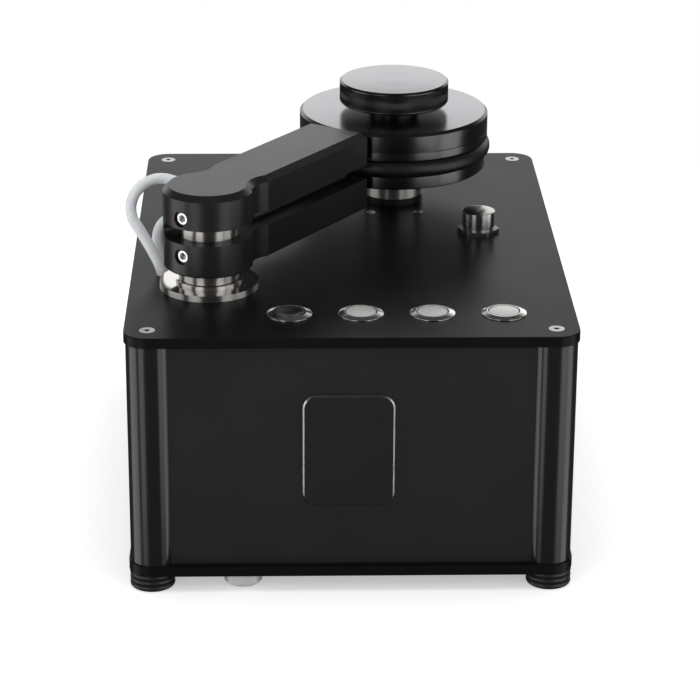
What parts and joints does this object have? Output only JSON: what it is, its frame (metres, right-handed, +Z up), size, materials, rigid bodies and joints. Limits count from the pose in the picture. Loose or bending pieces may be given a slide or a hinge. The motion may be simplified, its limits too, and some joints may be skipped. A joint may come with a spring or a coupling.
{
  "type": "record cleaning machine",
  "caption": "Record cleaning machine: a boxed cabinet with a clamping platter for a record and a swinging double suction arm that dries both its sides.",
  "frame": {"origin": "centre of the cabinet's footprint, on the surface that the feet stand on", "axes": "+Z up, +Y from the button side to the rear panel, +X to the right as seen from the buttons"},
  "size_m": [0.2328, 0.306, 0.211],
  "materials": {
    "black_coating": "matte",
    "black_plastic": "matte",
    "badge_black": "satin",
    "screw_steel": "polished",
    "brushed_steel": "brushed",
    "polished_metal": "polished",
    "turned_aluminium": "turned, black",
    "black_anodised": "matte",
    "black_rubber": "matte",
    "clear_hose": "milky translucent",
    "bronze": "turned",
    "velvet": "pile",
    "inner_steel": "plain",
    "inner_plastic": "plain",
    "circuit_board": "plain",
    "inner_aluminium": "plain"
  },
  "bodies": {
    "cabinet": {"top_plate": "black_coating", "base_plate": "black_coating", "post_front_left": "black_coating", "post_front_right": "black_coating", "post_rear_left": "black_coating", "post_rear_right": "black_coating", "front_panel": "black_coating", "rear_panel": "black_coating", "left_panel": "black_coating", "right_panel": "black_coating", "badge_plate": "badge_black", "foot_front_left": "black_plastic", "foot_front_right": "black_plastic", "foot_rear_left": "black_plastic", "foot_rear_right": "black_plastic", "deck_screws": "screw_steel", "small_screws": "screw_steel", "mains_inlet": "black_plastic", "button_bezel_1": "brushed_steel", "button_bezel_2": "brushed_steel", "button_bezel_3": "brushed_steel", "button_bezel_4": "brushed_steel", "filler_neck": "brushed_steel", "bearing_housing": "black_anodised", "bearing_bushes": "bronze", "drive_motor": "inner_steel", "drive_bracket": "inner_steel", "arm_base": "polished_metal", "arm_bush": "bronze", "hose_gland": "black_rubber", "hose_upper": "clear_hose", "hose_lower": "clear_hose", "waste_tank": "inner_plastic", "fluid_tank": "inner_plastic", "fluid_pump": "inner_plastic", "vacuum_housing": "inner_plastic", "control_board": "circuit_board", "power_supply": "inner_aluminium"},
    "platter": {"platter_shaft": "inner_steel", "platter_hub": "brushed_steel", "platter_disc": "turned_aluminium", "lower_seal": "black_rubber", "platter_gear": "inner_steel"},
    "motor_shaft": {"motor_pinion": "bronze"},
    "clamp": {"clamp_disc": "turned_aluminium", "upper_seal": "black_rubber"},
    "knob": {"clamp_knob": "turned_aluminium"},
    "arm": {"arm_post": "polished_metal", "lower_arm": "black_anodised", "upper_arm": "black_anodised", "arm_set_screws": "screw_steel", "wiper_strips": "velvet", "hose_barbs": "black_plastic"},
    "filler_lid": {"filler_cap": "polished_metal"},
    "impeller": {"vacuum_impeller": "inner_plastic"},
    "drain": {"drain_plug": "polished_metal"},
    "button_1": {"button_cap_1": "brushed_steel"},
    "button_2": {"button_cap_2": "brushed_steel"},
    "button_3": {"button_cap_3": "brushed_steel"},
    "button_4": {"button_cap_4": "brushed_steel"}
  },
  "joints": [
    {"name": "platter_spin", "type": "hinge", "parent": "cabinet", "child": "platter", "pos_m": [0.02857, 0.07, 0.145], "axis": [0, 0, 1], "continuous": true},
    {"name": "motor_spin", "type": "hinge", "parent": "cabinet", "child": "motor_shaft", "pos_m": [0.02857, 0.04, 0.12], "axis": [0, 0, 1], "continuous": true},
    {"name": "clamp_lift", "type": "slide", "parent": "platter", "child": "clamp", "axis": [0, 0, 1], "range_m": [0, 0.045]},
    {"name": "knob_turn", "type": "hinge", "parent": "clamp", "child": "knob", "pos_m": [0.02857, 0.07, 0.2], "axis": [0, 0, 1], "continuous": true},
    {"name": "arm_swing", "type": "hinge", "parent": "cabinet", "child": "arm", "pos_m": [-0.0733, -0.0765, 0.15], "axis": [0, 0, -1], "range_deg": [0, 80], "deforming": ["hose_upper", "hose_lower"]},
    {"name": "filler_cap_lift", "type": "slide", "parent": "cabinet", "child": "filler_lid", "axis": [0, 0, 1], "range_m": [0, 0.03]},
    {"name": "impeller_spin", "type": "hinge", "parent": "cabinet", "child": "impeller", "pos_m": [-0.055, 0.062, 0.07], "axis": [0, 0, 1], "continuous": true},
    {"name": "drain_plug_turn", "type": "hinge", "parent": "cabinet", "child": "drain", "pos_m": [-0.056, -0.141, 0.005], "axis": [0, 0, 1], "range_deg": [0, 720]},
    {"name": "button_press_1", "type": "slide", "parent": "cabinet", "child": "button_1", "axis": [0, 0, -1], "range_m": [0, 0.002], "stiffness_N_per_m": 500, "springref_m": -0.001},
    {"name": "button_press_2", "type": "slide", "parent": "cabinet", "child": "button_2", "axis": [0, 0, -1], "range_m": [0, 0.002], "stiffness_N_per_m": 500, "springref_m": -0.001},
    {"name": "button_press_3", "type": "slide", "parent": "cabinet", "child": "button_3", "axis": [0, 0, -1], "range_m": [0, 0.002], "stiffness_N_per_m": 500, "springref_m": -0.001},
    {"name": "button_press_4", "type": "slide", "parent": "cabinet", "child": "button_4", "axis": [0, 0, -1], "range_m": [0, 0.002], "stiffness_N_per_m": 500, "springref_m": -0.001}
  ],
  "couplings": [
    {"joint": "motor_spin", "follows": "platter_spin", "ratio": -2}
  ]
}
